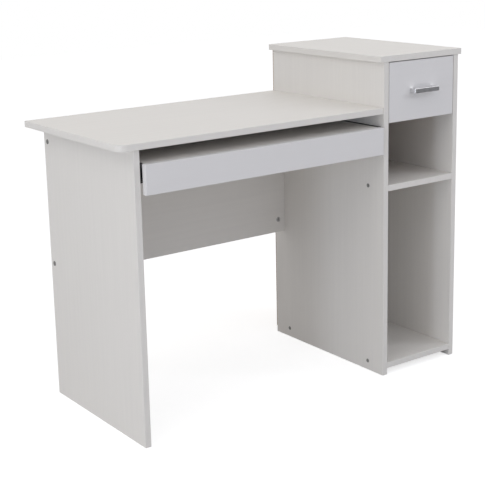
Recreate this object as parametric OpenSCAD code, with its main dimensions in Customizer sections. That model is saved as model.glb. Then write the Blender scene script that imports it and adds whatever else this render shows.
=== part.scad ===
// Computer desk with a keyboard tray and a drawer tower, made of coated boards that are bolted together.
// Millimetres. +Z is up and +Y points to the wall behind the desk. The origin is on the floor, in the
// middle of the ground that the whole desk covers.

/* [Boards] */
// Thickness of the coated boards
board_t = 16; // [15:1:19]
// Thickness of the tower's back and of the drawer bottom
thin_t = 3; // [2.5:0.5:4]
// Thickness of the drawer's sides and back
drawer_t = 12; // [11:1:15]
// Chamfer on the edges of each board
arris = 0.6; // [0.3:0.1:1]

/* [Desk] */
// Height of the desk surface above the floor
desk_h = 740; // [700:1:820]
// Depth of the desk top
desk_d = 475; // [450:1:600]
// Clear width of the knee space
knee_w = 736; // [600:1:1000]
// Overhang of the desk top past the left panel
desk_over = 42; // [10:1:80]
// Radius of the desk top's front left corner
desk_corner_r = 25; // [10:1:60]
// Distance from the tower's front to the desk top's front edge
desk_setback = 2; // [0:1:10]
// Distance from the desk top's front edge to the left panel's
leg_setback = 8; // [2:1:30]
// Distance from the desk top's back edge to the left panel's
leg_rear_setback = 21; // [5:1:60]
// Height of the modesty panel, which ties the desk together behind the knees
modesty_h = 398; // [300:1:500]
// Distance from the left panel's back edge to the modesty panel's back face
modesty_inset = 10; // [0:1:30]

/* [Tower] */
// Height of the tower above the floor
tower_h = 875; // [850:1:1100]
// Width of the tower over its side panels
tower_w = 269; // [220:1:400]
// Depth of the tower's side panels
tower_d = 474; // [450:1:600]
// Overhang of the tower top past the left side
top_over_left = 13; // [0:1:30]
// Overhang of the tower top past the right side
top_over_right = 10; // [0:1:30]
// Overhang of the tower top past the front
top_over_front = 2; // [0:1:15]
// Distance from the desk surface down to the middle shelf's upper face
shelf_drop = 208; // [170:1:400]
// Height of the gap under the bottom shelf
foot_gap = 18; // [8:1:60]

/* [Drawer] */
// Height of the drawer front
drawer_front_h = 158; // [150:1:200]
// Gap above the drawer front
drawer_top_gap = 2.4; // [1.5:0.1:4]
// Gap at each side of the drawer front
drawer_side_gap = 2; // [1:0.5:3]
// Height of the drawer box
drawer_box_h = 118; // [80:1:120]
// Depth of the drawer box behind its front
drawer_box_d = 380; // [360:1:420]
// Distance from the bottom of the drawer front to the bottom of the drawer box
drawer_rise = 16; // [10:1:20]
// Distance from the drawer sides' bottom edge to the drawer bottom
groove_rise = 9; // [8:0.5:12]
// Depth of the groove that holds the drawer bottom
groove_depth = 5; // [3:0.5:6]

/* [Handle] */
// Distance between the handle's two screws
handle_centres = 76; // [64:1:128]
// Distance that the handle stands out from the drawer front
handle_out = 23; // [18:1:35]
// Height of the handle's bar
handle_h = 12; // [8:0.5:14]
// Thickness of the handle's bar
handle_bar_t = 9; // [5:0.5:12]
// Width of each of the handle's legs
handle_leg_w = 12; // [10:0.5:16]
// Radius of the handle's outer corners
handle_r = 4; // [2:0.5:6]

/* [Keyboard tray] */
// Height of the tray front
tray_front_h = 72; // [60:1:80]
// Gap between the desk top and the tray front
tray_drop = 34; // [28:1:60]
// Height of the tray's side rails, which carry its board between them
tray_rail_h = 45; // [42:1:54]
// Gap at each end of the tray front
tray_end_gap = 5.5; // [3:0.5:8]
// Distance from the desk top's front edge forward to the tray front's face
tray_proud = 8; // [4:1:12]
// Depth of the tray board
tray_board_d = 350; // [330:1:370]
// Travel of the tray
tray_travel = 300; // [200:10:300]

/* [Tray slides] */
// Height of a tray slide
slide_h = 45; // [42:0.5:46]
// Width of a tray slide
slide_w = 12.7; // [12.7:0.1:14]
// Length of a tray slide
slide_len = 300; // [300:10:320]
// Distance from the tray front's back to the slides
slide_setback = 2; // [1:0.5:5]
// Diameter of the slides' balls
ball_d = 3.2; // [2.8:0.1:3.4]
// Pitch of the balls along the slide
ball_pitch = 20; // [12:1:30]
// Thickness of the cages that hold the balls
cage_t = 0.6; // [0.4:0.1:0.7]
// Clearance between a cage and the members on both sides of it
cage_gap = 0.3; // [0.3:0.05:0.35]

/* [Drawer runners] */
// Length of a drawer runner
runner_len = 350; // [300:10:350]
// Width of a drawer runner
runner_w = 12.5; // [12.5:0.1:13.5]
// Diameter of the rollers
roller_d = 17; // [15:0.5:18]
// Width of the rollers
roller_w = 6; // [5:0.5:6]
// Diameter of the axles of the rollers
axle_d = 4; // [3:0.5:5]
// Distance from the end of a runner to its roller's axle
axle_in = 12; // [10:1:15]
// Thickness of the steel of the slides and runners
steel_t = 1.2; // [1:0.1:1.2]

/* [Fasteners] */
// Distance from a panel's edge to the screws and cams nearest to it
fix_in = 62; // [50:1:80]
// Distance from the modesty panel's top and bottom edges to its screws and cams
modesty_fix_in = 38; // [30:1:60]
// Length of the long furniture screws
bolt_len = 50; // [40:1:50]
// Diameter of the long furniture screws
bolt_d = 7; // [6:0.5:7]
// Diameter of the long furniture screws' heads
bolt_head_d = 10; // [9:0.5:11]
// Diameter of the caps over those heads
cap_d = 13; // [12:0.5:16]
// Thickness of the caps
cap_t = 1.2; // [0.8:0.1:2]
// Diameter of the cams
cam_d = 15; // [12:0.5:15]
// Distance from a board's end to the middle of its cam
cam_in = 24; // [24:1:34]
// Diameter of the wooden dowels
dowel_d = 8; // [6:0.5:8]
// Length of the wooden dowels
dowel_len = 30; // [20:1:30]
// Depth of the dowels in the board that is bored in its face
dowel_in = 11; // [8:1:12]
// Distance from a cam or screw to the dowel next to it
dowel_step = 40; // [32:1:60]
// Diameter of the small screws
screw_d = 3.5; // [3:0.5:4]
// Diameter of the small screws' heads
screw_head_d = 6.8; // [6:0.2:7.2]
// Largest distance between two nails
nail_pitch = 130; // [80:1:200]
// Clearance around a fastener in its hole
fit_gap = 0.05; // [0.05:0.05:0.1]
// Clearance around a ball, a roller or the drawer bottom where it moves or floats
run_gap = 0.25; // [0.25:0.05:0.3]

/* [Hidden] */
$fn = 48;
X = [1, 0, 0];
Y = [0, 1, 0];
Z = [0, 0, 1];
cut = 1;                 // how far a cutting shape reaches past the face that it opens
CREAM = [0.87, 0.86, 0.84];
SHADE = [0.82, 0.81, 0.79];
COOL = [0.83, 0.83, 0.85];
HDF = [0.74, 0.71, 0.66];
BLACK = [0.09, 0.09, 0.1];
STEEL = [0.72, 0.73, 0.74];
NICKEL = [0.66, 0.66, 0.67];
EPOXY = [0.92, 0.92, 0.9];
NYLON = [0.9, 0.89, 0.84];
GREY = [0.55, 0.54, 0.52];
BEECH = [0.78, 0.6, 0.4];

// Whole desk
total_w = desk_over + board_t + knee_w + tower_w + top_over_right;
total_d = handle_out + tower_d + thin_t;
x_left = -total_w / 2 + desk_over;              // left panel's outer face
x_knee = x_left + board_t;                      // left side of the knee space
x_tower = x_knee + knee_w;                      // right side of the knee space
x_cell = x_tower + board_t;                     // left side of the tower's inside
x_cell_end = x_tower + tower_w - board_t;
x_right = x_tower + tower_w;
y_front = -total_d / 2 + handle_out;            // tower's front and drawer front
y_tower_end = y_front + tower_d;                // back edges of the tower's boards
y_back = y_tower_end + thin_t;
y_desk = y_front + desk_setback;                // desk top's front edge
y_desk_end = y_desk + desk_d;
z_under = desk_h - board_t;                     // under the desk top
z_tower_under = tower_h - board_t;              // under the tower top
z_shelf = desk_h - shelf_drop;                  // middle shelf's upper face
z_shelf_under = z_shelf - board_t;
z_bottom_shelf = foot_gap + board_t;            // bottom shelf's upper face

// Left panel and modesty panel
y_leg = y_desk + leg_setback;
y_leg_end = y_desk_end - leg_rear_setback;
y_modesty_end = y_leg_end - modesty_inset;
y_modesty = y_modesty_end - board_t;
z_modesty = z_under - modesty_h;

// Keyboard tray and its slides
y_tray = y_desk - tray_proud;                   // face of the tray front
y_tray_board = y_tray + board_t;
z_tray_front_end = z_under - tray_drop;         // top of the tray front
z_tray_front = z_tray_front_end - tray_front_h;
y_tray_end = y_tray_board + tray_board_d;
z_tray = z_tray_front_end - board_t;            // underside of the tray board
z_tray_rail = z_tray_front_end - tray_rail_h;   // lower edge of the side rails
z_slide = z_tray_rail + tray_rail_h / 2;        // middle of the slides
y_slide = y_tray_board + slide_setback;
x_tray = x_knee + slide_w;                      // outer face of the left side rail
x_tray_end = x_tower - slide_w;
x_tray_board = x_tray + board_t;
x_tray_board_end = x_tray_end - board_t;

// Cross-section of a tray slide: u runs from the panel to the tray, v up from the middle
race = ball_d + 2 * run_gap;                    // space that a row of balls takes
v_outer = slide_h / 2 - steel_t;                // outer member's flange, inside
v_middle = v_outer - race;                      // middle member's flange, outside
v_middle_in = v_middle - steel_t;
v_inner = v_middle_in - race;                   // inner member's flange, outside
v_balls_outer = v_outer - race / 2;
v_balls_inner = v_middle_in - race / 2;
u_cage_outer = steel_t + cage_gap;
u_middle = u_cage_outer + cage_t + cage_gap;
u_cage_inner = u_middle + steel_t + cage_gap;
u_inner_tip = u_cage_inner + cage_t + cage_gap;
u_inner = slide_w - steel_t;                    // inner member's web
u_outer_tip = slide_w - 3.3;
u_middle_tip = u_inner - 0.5;
lip_t = 0.8;                                    // turned edge of a flange
lip_h = 0.8;
cage_reach = 6.4;                               // width of a cage's ball strips
cage_len = slide_len - tray_travel / 2 - 10;    // a cage stays between its members at full travel
y_cage = y_slide + (slide_len - cage_len) / 2;
balls_per_row = floor((cage_len - ball_pitch) / ball_pitch) + 1;
y_ball = y_cage + (cage_len - (balls_per_row - 1) * ball_pitch) / 2;
ball_hole_gap = 0.1;                            // around a ball in its cage
slide_screw_in = 25;                            // from a slide's end to its first screw

// Drawer
x_drawer = x_cell + runner_w;                   // outer face of the drawer's left side
x_drawer_end = x_cell_end - runner_w;
z_drawer_front_end = z_tower_under - drawer_top_gap;
z_drawer_front = z_drawer_front_end - drawer_front_h;
z_drawer = z_drawer_front + drawer_rise;        // bottom edge of the drawer's sides
z_drawer_end = z_drawer + drawer_box_h;
y_drawer = y_front + board_t;                   // back of the drawer front
y_drawer_end = y_drawer + drawer_box_d;
z_bottom = z_drawer + groove_rise;              // drawer bottom's underside
groove_gap = 0.1;                               // around the drawer bottom in its groove
x_drawer_mid = (x_cell + x_cell_end) / 2;
z_handle = z_drawer_front + drawer_front_h / 2;

// Cross-section of a drawer runner: u runs from the panel to the drawer, v up from the drawer's edge
y_runner = y_drawer + 1;
v_track = -4;                                   // track that the drawer's roller runs on
v_track_end = v_track + roller_d + 2 * run_gap;
v_hook = v_track_end + steel_t + 0.9;           // flange that lies on the frame's roller
v_drawer_roller = v_track + run_gap + roller_d / 2;
v_frame_roller = v_hook - run_gap - roller_d / 2;
u_roller = 2.4;
track_reach = u_roller + roller_w + 1.2;
y_frame_roller = y_runner + axle_in;
y_drawer_roller = y_runner + runner_len - axle_in;
axle_gap = 0.08;                                // around an axle in its roller
axle_head_t = 0.5;
runner_screw_in = 40;

// Fasteners
cam_below = 3.5;                                // how far a cam reaches past the board's middle
stud_d = 6.4;                                   // cam dowel's body
stud_thread_d = 5;
stud_thread = 10;                               // depth of its thread in the other board
cap_peg_d = 3.4;
screw_len = 15;
drawer_screw_len = 9;                           // runner screw, shorter than a drawer side
back_screw_len = 30;                            // screw through a drawer side into the drawer back
nail_d = 1.6;
nail_head_d = 3.6;
nail_head_t = 0.6;
nail_len = 18;
handle_screw_d = 4;
handle_screw_grip = 10;                         // depth of the screws in the handle's legs
handle_screw_head_t = 2.4;
handle_screw_head_d = 8;

// Where the fasteners go. Each entry is a point and a direction, or a point, a face and a direction.
y_leg_fix = [y_leg + fix_in, y_leg_end - fix_in];
y_tower_fix = [y_front + fix_in, y_tower_end - fix_in];
z_modesty_fix = [z_modesty + modesty_fix_in, z_under - modesty_fix_in];
y_modesty_mid = y_modesty + board_t / 2;

// Long screws: a point on the outer face, and the direction that the screw goes in
BOLTS = concat(
    [for (z = z_modesty_fix) [[x_left, y_modesty_mid, z], X]],
    [for (y = y_tower_fix, z = [foot_gap, z_shelf_under]) [[x_tower, y, z + board_t / 2], X]],
    [for (y = y_tower_fix, z = [foot_gap, z_shelf_under]) [[x_right, y, z + board_t / 2], -X]]
);

// Cams: a point on the board's face, that face's normal, and the direction of the board it pulls in
FRAME_CAMS = concat(
    [for (y = y_leg_fix) [[x_knee, y, z_under - cam_in], X, Z]],
    [for (y = y_leg_fix) [[x_tower - cam_in, y, z_under], -Z, X]],
    [for (z = z_modesty_fix) [[x_tower - cam_in, y_modesty, z], -Y, X]],
    [for (y = y_tower_fix) [[x_cell, y, z_tower_under - cam_in], X, Z]],
    [for (y = y_tower_fix) [[x_cell_end, y, z_tower_under - cam_in], -X, Z]]
);
x_tray_mid = (x_tray + x_tray_end) / 2;
x_tray_fix = [for (s = [-1, 0, 1]) x_tray_mid + s * ((x_tray_board_end - x_tray_board) / 2 - fix_in)];
y_tray_fix = [y_tray_board + fix_in, y_tray_end - fix_in];
TRAY_CAMS = concat(
    [for (x = x_tray_fix) [[x, y_tray_board + cam_in, z_tray], -Z, -Y]],
    [for (y = y_tray_fix) [[x_tray_board + cam_in, y, z_tray], -Z, -X]],
    [for (y = y_tray_fix) [[x_tray_board_end - cam_in, y, z_tray], -Z, X]]
);
z_drawer_cam = z_drawer + drawer_box_h / 2 - 14;
DRAWER_CAMS = [
    [[x_drawer + drawer_t, y_drawer + cam_in, z_drawer_cam], X, -Y],
    [[x_drawer_end - drawer_t, y_drawer + cam_in, z_drawer_cam], -X, -Y]
];

// Dowels: a point on the joint, and the direction into the board that is bored in its face
FRAME_DOWELS = concat(
    [for (y = [y_leg_fix[0] + dowel_step, y_leg_fix[1] - dowel_step]) [[x_left + board_t / 2, y, z_under], Z]],
    [for (y = [y_leg_fix[0] + dowel_step, y_leg_fix[1] - dowel_step]) [[x_tower, y, z_under + board_t / 2], X]],
    [for (s = [-1, 0, 1]) [[(x_knee + x_tower) / 2 + s * (knee_w / 2 - fix_in), y_modesty_mid, z_under], Z]],
    [[[x_knee, y_modesty_mid, z_modesty_fix[0] + dowel_step], -X]],
    [[[x_tower, y_modesty_mid, z_modesty_fix[0] + dowel_step], X]],
    [for (z = [foot_gap, z_shelf_under]) [[x_cell, y_front + tower_d / 2, z + board_t / 2], -X]],
    [for (z = [foot_gap, z_shelf_under]) [[x_cell_end, y_front + tower_d / 2, z + board_t / 2], X]],
    [for (x = [x_tower, x_cell_end], y = [y_tower_fix[0] + dowel_step, y_tower_fix[1] - dowel_step])
        [[x + board_t / 2, y, z_tower_under], Z]]
);
z_tray_mid = z_tray + board_t / 2;
TRAY_DOWELS = concat(
    [for (x = x_tray_fix, s = [-1, 1]) [[x + s * dowel_step, y_tray_board, z_tray_mid], -Y]],
    [for (x = [x_tray, x_tray_board_end]) [[x + board_t / 2, y_tray_board, z_slide], -Y]],
    [for (y = [y_tray_fix[0] + dowel_step, y_tray_fix[1] - dowel_step]) [[x_tray_board, y, z_tray_mid], -X]],
    [for (y = [y_tray_fix[0] + dowel_step, y_tray_fix[1] - dowel_step]) [[x_tray_board_end, y, z_tray_mid], X]]
);
DRAWER_DOWELS = [for (x = [x_drawer, x_drawer_end - drawer_t])
    [[x + drawer_t / 2, y_drawer, z_drawer_cam + dowel_step], -Y]];

// Small screws: a point on the steel or board that the head is sunk in, the direction, the length
y_slide_screws = [for (k = [0, 0.5, 1]) y_slide + slide_screw_in + k * (slide_len - 2 * slide_screw_in)];
y_runner_screws = [for (k = [0, 0.5, 1]) y_runner + runner_screw_in + k * (runner_len - 2 * runner_screw_in)];
FRAME_SCREWS = concat(
    [for (y = y_slide_screws) [[x_knee + steel_t, y, z_slide], -X, screw_len]],
    [for (y = y_slide_screws) [[x_tower - steel_t, y, z_slide], X, screw_len]],
    [for (y = y_runner_screws) [[x_cell + steel_t, y, z_drawer + v_drawer_roller], -X, screw_len]],
    [for (y = y_runner_screws) [[x_cell_end - steel_t, y, z_drawer + v_drawer_roller], X, screw_len]]
);
TRAY_SCREWS = concat(
    [for (y = y_slide_screws) [[x_knee + u_inner, y, z_slide], X, screw_len]],
    [for (y = y_slide_screws) [[x_tower - u_inner, y, z_slide], -X, screw_len]]
);
DRAWER_SCREWS = concat(
    [for (y = y_runner_screws) [[x_cell + runner_w - steel_t, y, z_drawer + v_drawer_roller], X, drawer_screw_len]],
    [for (y = y_runner_screws) [[x_cell_end - runner_w + steel_t, y, z_drawer + v_drawer_roller], -X, drawer_screw_len]]
);
z_back_screws = [z_bottom + thin_t + 18, z_drawer_end - 18];
BACK_SCREWS = concat(
    [for (z = z_back_screws) [[x_drawer, y_drawer_end - drawer_t / 2, z], X, back_screw_len]],
    [for (z = z_back_screws) [[x_drawer_end, y_drawer_end - drawer_t / 2, z], -X, back_screw_len]]
);

// Nails: a point on the outer face, and the direction that the nail goes in
function steps(a, b, pitch) = let (n = ceil((b - a) / pitch)) [for (i = [0:n]) a + i * (b - a) / n];
BACK_NAILS = concat(
    [for (x = [x_tower, x_cell_end], z = steps(foot_gap + 40, z_tower_under - 30, nail_pitch))
        [[x + board_t / 2, y_back, z], -Y]],
    [for (x = steps(x_cell + 50, x_cell_end - 50, nail_pitch), z = [foot_gap, z_shelf_under])
        [[x, y_back, z + board_t / 2], -Y]]
);
BOTTOM_NAILS = [for (x = steps(x_drawer + 40, x_drawer_end - 40, nail_pitch))
    [[x, y_drawer_end - drawer_t / 2, z_bottom], Z]];

// Turns the children so that their Z points along z_dir and their X along x_dir, and moves them to p
module aim(p, z_dir, x_dir) {
    y_dir = cross(z_dir, x_dir);
    multmatrix([
        [x_dir[0], y_dir[0], z_dir[0], p[0]],
        [x_dir[1], y_dir[1], z_dir[1], p[1]],
        [x_dir[2], y_dir[2], z_dir[2], p[2]],
        [0, 0, 0, 1]
    ]) children();
}

// Any direction along an axis has this one square to it
function square_to(d) = abs(d[0]) > 0.5 ? Y : X;

module along(p, d) {
    aim(p, d, square_to(d)) children();
}

module block(lo, hi) {
    translate(lo) cube(hi - lo);
}

// A rectangle whose corners are cut off at 45 degrees
module cut_rectangle(w, h) {
    polygon([
        [arris, 0], [w - arris, 0], [w, arris], [w, h - arris],
        [w - arris, h], [arris, h], [0, h - arris], [0, arris]
    ]);
}

// A board between two corners, with a chamfer on its twelve edges
module board(lo, hi) {
    s = hi - lo;
    translate(lo) intersection() {
        linear_extrude(s[2]) cut_rectangle(s[0], s[1]);
        translate([0, s[1], 0]) rotate([90, 0, 0]) linear_extrude(s[1]) cut_rectangle(s[0], s[2]);
        rotate([90, 0, 90]) linear_extrude(s[0]) cut_rectangle(s[1], s[2]);
    }
}

// Long screw: its head is just under the face, with a hexagon socket in it
bolt_head_t = 3;
module bolt() {
    difference() {
        union() {
            translate([0, 0, 0.2]) cylinder(h = bolt_head_t, d = bolt_head_d);
            translate([0, 0, 0.2]) cylinder(h = bolt_len, d = bolt_d);
        }
        translate([0, 0, -cut]) cylinder(h = bolt_head_t - 0.4 + cut, d = 4.6, $fn = 6);
    }
}
module bolt_hole() {
    translate([0, 0, -cut]) cylinder(h = bolt_head_t + 0.2 + cut + fit_gap, d = bolt_head_d + 2 * fit_gap);
    cylinder(h = bolt_len + cut, d = bolt_d + 2 * fit_gap);
}
module bolt_cap() {
    translate([0, 0, -cap_t]) cylinder(h = cap_t, d1 = cap_d - 1.2, d2 = cap_d);
    translate([0, 0, -0.1]) cylinder(h = 1.9, d = cap_peg_d);
}

// Cam: its Z is the face's normal, its X points to the board that it pulls in
module cam(t) {
    r = cam_d / 2 - fit_gap;
    depth = t / 2 + cam_below;
    difference() {
        translate([0, 0, -depth]) cylinder(h = depth, r = r);
        translate([-2.5, -stud_d / 2 - 0.3, -t / 2 - stud_d / 2 - 0.3])
            cube([7, stud_d + 0.6, stud_d + 0.6]);
        translate([0, -2.2, -t / 2 - 2.2]) cube([r + cut, 4.4, 4.4]);
        for (a = [0, 90]) rotate(a) translate([-3.4, -0.6, -1.6]) cube([6.8, 1.2, 1.6 + cut]);
    }
}
module cam_stud(t) {
    head_end = 4.2;
    translate([0, 0, -t / 2]) rotate([0, 90, 0]) {
        translate([0, 0, 1.2]) cylinder(h = head_end - 1.2, d1 = stud_d - 1.4, d2 = stud_d);
        cylinder(h = cam_in, d = 4);
        translate([0, 0, cam_d / 2 + 1]) cylinder(h = cam_in - cam_d / 2 - 1, d = stud_d);
        translate([0, 0, cam_in]) cylinder(h = stud_thread, d = stud_thread_d);
    }
}
module cam_hole(t) {
    translate([0, 0, -t / 2 - cam_below - fit_gap]) cylinder(h = t / 2 + cam_below + fit_gap + cut, d = cam_d);
    translate([0, 0, -t / 2]) rotate([0, 90, 0]) {
        cylinder(h = cam_in, d = stud_d + 2 * fit_gap);
        cylinder(h = cam_in + stud_thread + cut, d = stud_thread_d + 2 * fit_gap);
    }
}

module dowel() {
    translate([0, 0, dowel_in - dowel_len]) {
        cylinder(h = 1, d1 = dowel_d - 2, d2 = dowel_d);
        translate([0, 0, 1]) cylinder(h = dowel_len - 2, d = dowel_d);
        translate([0, 0, dowel_len - 1]) cylinder(h = 1, d1 = dowel_d, d2 = dowel_d - 2);
    }
}
module dowel_hole() {
    translate([0, 0, dowel_in - dowel_len - 0.5]) cylinder(h = dowel_len + 1, d = dowel_d + 2 * fit_gap);
}

// Small screw with a sunk head and a cross in it
screw_head_t = 1.8;
module screw(length) {
    difference() {
        union() {
            cylinder(h = screw_head_t, d1 = screw_head_d, d2 = screw_d);
            cylinder(h = length, d = screw_d);
        }
        for (a = [0, 90]) rotate(a) translate([-1.7, -0.4, -cut]) cube([3.4, 0.8, cut + 1]);
    }
}
module screw_hole(length) {
    wide = screw_head_d + 2 * fit_gap;
    translate([0, 0, -cut]) cylinder(h = cut, d = wide);
    cylinder(h = screw_head_t + fit_gap, d1 = wide, d2 = screw_d + 2 * fit_gap);
    cylinder(h = length + 0.5, d = screw_d + 2 * fit_gap);
}

module nail() {
    cylinder(h = nail_head_t, d = nail_head_d);
    cylinder(h = nail_len, d = nail_d);
}
module nail_hole() {
    translate([0, 0, -cut]) cylinder(h = cut + nail_head_t + fit_gap, d = nail_head_d + 2 * fit_gap);
    cylinder(h = nail_len + 0.5, d = nail_d + 2 * fit_gap);
}

// All the holes that the fasteners of each part of the desk need
module frame_holes() {
    for (b = BOLTS) along(b[0], b[1]) bolt_hole();
    for (c = FRAME_CAMS) aim(c[0], c[1], c[2]) cam_hole(board_t);
    for (d = FRAME_DOWELS) along(d[0], d[1]) dowel_hole();
    for (s = FRAME_SCREWS) along(s[0], s[1]) screw_hole(s[2]);
    for (n = BACK_NAILS) along(n[0], n[1]) nail_hole();
}
module tray_holes() {
    for (c = TRAY_CAMS) aim(c[0], c[1], c[2]) cam_hole(board_t);
    for (d = TRAY_DOWELS) along(d[0], d[1]) dowel_hole();
    for (s = TRAY_SCREWS) along(s[0], s[1]) screw_hole(s[2]);
}
module drawer_holes() {
    for (c = DRAWER_CAMS) aim(c[0], c[1], c[2]) cam_hole(drawer_t);
    for (d = DRAWER_DOWELS) along(d[0], d[1]) dowel_hole();
    for (s = concat(DRAWER_SCREWS, BACK_SCREWS)) along(s[0], s[1]) screw_hole(s[2]);
    for (n = BOTTOM_NAILS) along(n[0], n[1]) nail_hole();
    for (s = [-1, 1]) translate([x_drawer_mid + s * handle_centres / 2, y_front - cut, z_handle])
        rotate([-90, 0, 0]) cylinder(h = board_t + 2 * cut, d = handle_screw_d + 2 * fit_gap);
    groove();
}

// Groove that the drawer bottom slides into, open at the back
module groove() {
    block([x_drawer + drawer_t - groove_depth, y_drawer - groove_depth, z_bottom - groove_gap],
        [x_drawer_end - drawer_t + groove_depth, y_drawer_end + cut, z_bottom + thin_t + groove_gap]);
}

// Frame
module desk_top() {
    lo = [x_left - desk_over, y_desk, z_under];
    hi = [x_tower, y_desk_end, desk_h];
    r = desk_corner_r;
    color(CREAM) difference() {
        union() {
            difference() {
                board(lo, hi);
                block(lo - [cut, cut, cut], lo + [r, r, board_t + cut]);
            }
            intersection() {
                translate(lo + [r, r, 0]) rotate_extrude() polygon([
                    [0, 0], [r - arris, 0], [r, arris], [r, board_t - arris], [r - arris, board_t], [0, board_t]
                ]);
                block(lo, lo + [r, r, board_t]);
            }
        }
        frame_holes();
    }
}
module left_side_panel() {
    color(CREAM) difference() {
        board([x_left, y_leg, 0], [x_knee, y_leg_end, z_under]);
        frame_holes();
    }
}
module modesty_panel() {
    color(SHADE) difference() {
        board([x_knee, y_modesty, z_modesty], [x_tower, y_modesty_end, z_under]);
        frame_holes();
    }
}
module tower_left_panel() {
    color(CREAM) difference() {
        board([x_tower, y_front, 0], [x_cell, y_tower_end, z_tower_under]);
        frame_holes();
    }
}
module tower_right_panel() {
    color(CREAM) difference() {
        board([x_cell_end, y_front, 0], [x_right, y_tower_end, z_tower_under]);
        frame_holes();
    }
}
module tower_top() {
    color(CREAM) difference() {
        board([x_tower - top_over_left, y_front - top_over_front, z_tower_under],
            [x_right + top_over_right, y_back, tower_h]);
        frame_holes();
    }
}
module shelf(z) {
    color(SHADE) difference() {
        board([x_cell, y_front, z - board_t], [x_cell_end, y_tower_end, z]);
        frame_holes();
    }
}
module middle_shelf() {
    shelf(z_shelf);
}
module bottom_shelf() {
    shelf(z_bottom_shelf);
}
module tower_back() {
    color(HDF) difference() {
        block([x_tower + 1, y_tower_end, foot_gap], [x_right - 1, y_back, z_tower_under]);
        frame_holes();
    }
}

// Keyboard tray
module tray_board() {
    color(SHADE) difference() {
        board([x_tray_board, y_tray_board, z_tray], [x_tray_board_end, y_tray_end, z_tray_front_end]);
        tray_holes();
    }
}
module tray_side_rails() {
    color(SHADE) difference() {
        for (x = [x_tray, x_tray_board_end])
            board([x, y_tray_board, z_tray_rail], [x + board_t, y_tray_end, z_tray_front_end]);
        tray_holes();
    }
}
module tray_front() {
    color(COOL) difference() {
        board([x_knee + tray_end_gap, y_tray, z_tray_front], [x_tower - tray_end_gap, y_tray_board, z_tray_front_end]);
        tray_holes();
    }
}

// Places a slide's or runner's cross-section against the panel at its left (1) or right (-1)
module at_panel(x_face, side, z) {
    translate([x_face, 0, z]) scale([side, 1, 1]) children();
}
module extrude_y(y, length) {
    translate([0, y + length, 0]) rotate([90, 0, 0]) linear_extrude(length) children();
}
module strip(u0, u1, v0, v1) {
    translate([u0, v0]) square([u1 - u0, v1 - v0]);
}

// Channel section: a web at one end of its two flanges, whose far edges are turned in
module channel(u_web, u_tip, v, turned) {
    u_web_in = u_web + (u_tip > u_web ? steel_t : -steel_t);
    strip(min(u_web, u_web_in), max(u_web, u_web_in), -v, v);
    for (s = [-1, 1]) {
        strip(min(u_web, u_tip), max(u_web, u_tip), s * v - (s + 1) / 2 * steel_t, s * v + (1 - s) / 2 * steel_t);
        if (turned) strip(u_tip - lip_t, u_tip, s > 0 ? v - steel_t - lip_h : -v, s > 0 ? v : lip_h + steel_t - v);
    }
}
module slide_side(side) {
    at_panel(side > 0 ? x_knee : x_tower, side, z_slide) children();
}
module slide_member_holes(holes) {
    for (s = holes) along(s[0], s[1]) screw_hole(s[2]);
}
module slide_outer(side) {
    color(BLACK) difference() {
        slide_side(side) extrude_y(y_slide, slide_len) channel(0, u_outer_tip, slide_h / 2, true);
        slide_member_holes(FRAME_SCREWS);
    }
}
module slide_middle(side) {
    color(BLACK) slide_side(side) extrude_y(y_slide, slide_len) channel(u_middle, u_middle_tip, v_middle, true);
}
module slide_inner(side) {
    color(BLACK) difference() {
        slide_side(side) extrude_y(y_slide, slide_len) channel(slide_w, u_inner_tip, v_inner, false);
        slide_member_holes(TRAY_SCREWS);
    }
}
module ball_places(u, v) {
    for (s = [-1, 1], i = [0:balls_per_row - 1]) translate([u, y_ball + i * ball_pitch, s * v]) children();
}
module slide_cage(side, u, v) {
    color(STEEL) slide_side(side) difference() {
        extrude_y(y_cage, cage_len) {
            strip(u, u + cage_t, -v - cage_t / 2, v + cage_t / 2);
            for (s = [-1, 1]) strip(u, u + cage_reach, s * v - cage_t / 2, s * v + cage_t / 2);
        }
        ball_places(u + cage_reach / 2 + cage_t, v)
            cylinder(h = 2, d = ball_d + 2 * ball_hole_gap, center = true);
    }
}
module slide_balls(side, u, v) {
    color(STEEL) slide_side(side) ball_places(u + cage_reach / 2 + cage_t, v) sphere(d = ball_d);
}

module tray_slide_left_outer() { slide_outer(1); }
module tray_slide_left_middle() { slide_middle(1); }
module tray_slide_left_inner() { slide_inner(1); }
module tray_slide_left_outer_cage() { slide_cage(1, u_cage_outer, v_balls_outer); }
module tray_slide_left_inner_cage() { slide_cage(1, u_cage_inner, v_balls_inner); }
module tray_slide_left_outer_balls() { slide_balls(1, u_cage_outer, v_balls_outer); }
module tray_slide_left_inner_balls() { slide_balls(1, u_cage_inner, v_balls_inner); }
module tray_slide_right_outer() { slide_outer(-1); }
module tray_slide_right_middle() { slide_middle(-1); }
module tray_slide_right_inner() { slide_inner(-1); }
module tray_slide_right_outer_cage() { slide_cage(-1, u_cage_outer, v_balls_outer); }
module tray_slide_right_inner_cage() { slide_cage(-1, u_cage_inner, v_balls_inner); }
module tray_slide_right_outer_balls() { slide_balls(-1, u_cage_outer, v_balls_outer); }
module tray_slide_right_inner_balls() { slide_balls(-1, u_cage_inner, v_balls_inner); }

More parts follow.
